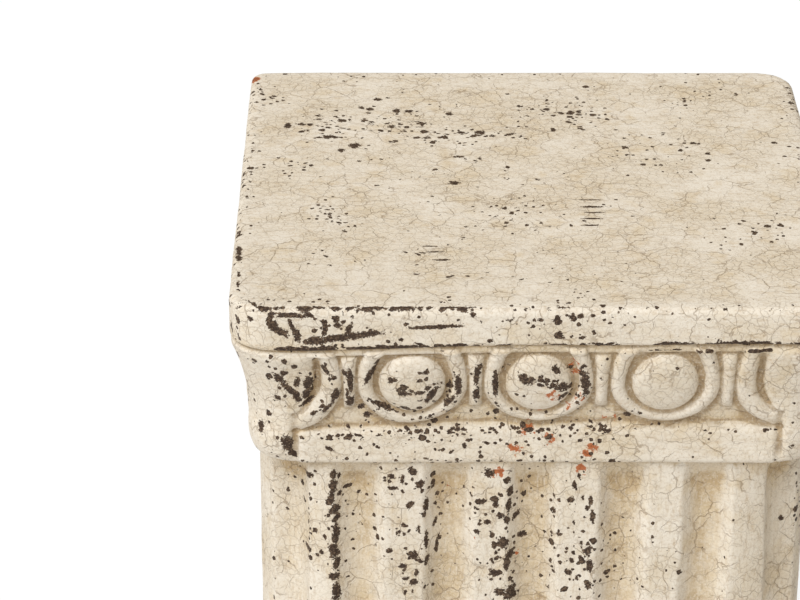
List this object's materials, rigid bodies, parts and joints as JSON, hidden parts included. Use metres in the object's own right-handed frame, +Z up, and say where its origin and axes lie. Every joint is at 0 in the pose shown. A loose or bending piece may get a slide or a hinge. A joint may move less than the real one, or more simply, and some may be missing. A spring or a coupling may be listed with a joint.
{
  "type": "column pedestal",
  "caption": "Square fluted column pedestal in worn cream paint on terracotta, with an egg-and-dart cap, a flat top and an open hollow inside.",
  "frame": {"origin": "centre of the underside", "axes": "+Z up along the shaft; the front faces -Y, and +X is to its right seen from the front"},
  "size_m": [0.33, 0.33, 0.76],
  "materials": {
    "painted_terracotta": "matt cream paint, finely crackled, worn through on edges and in round pits to a black-brown ground, with rust-orange stains of terracotta"
  },
  "bodies": {
    "root": {"column_pedestal": "painted_terracotta"}
  },
  "joints": []
}
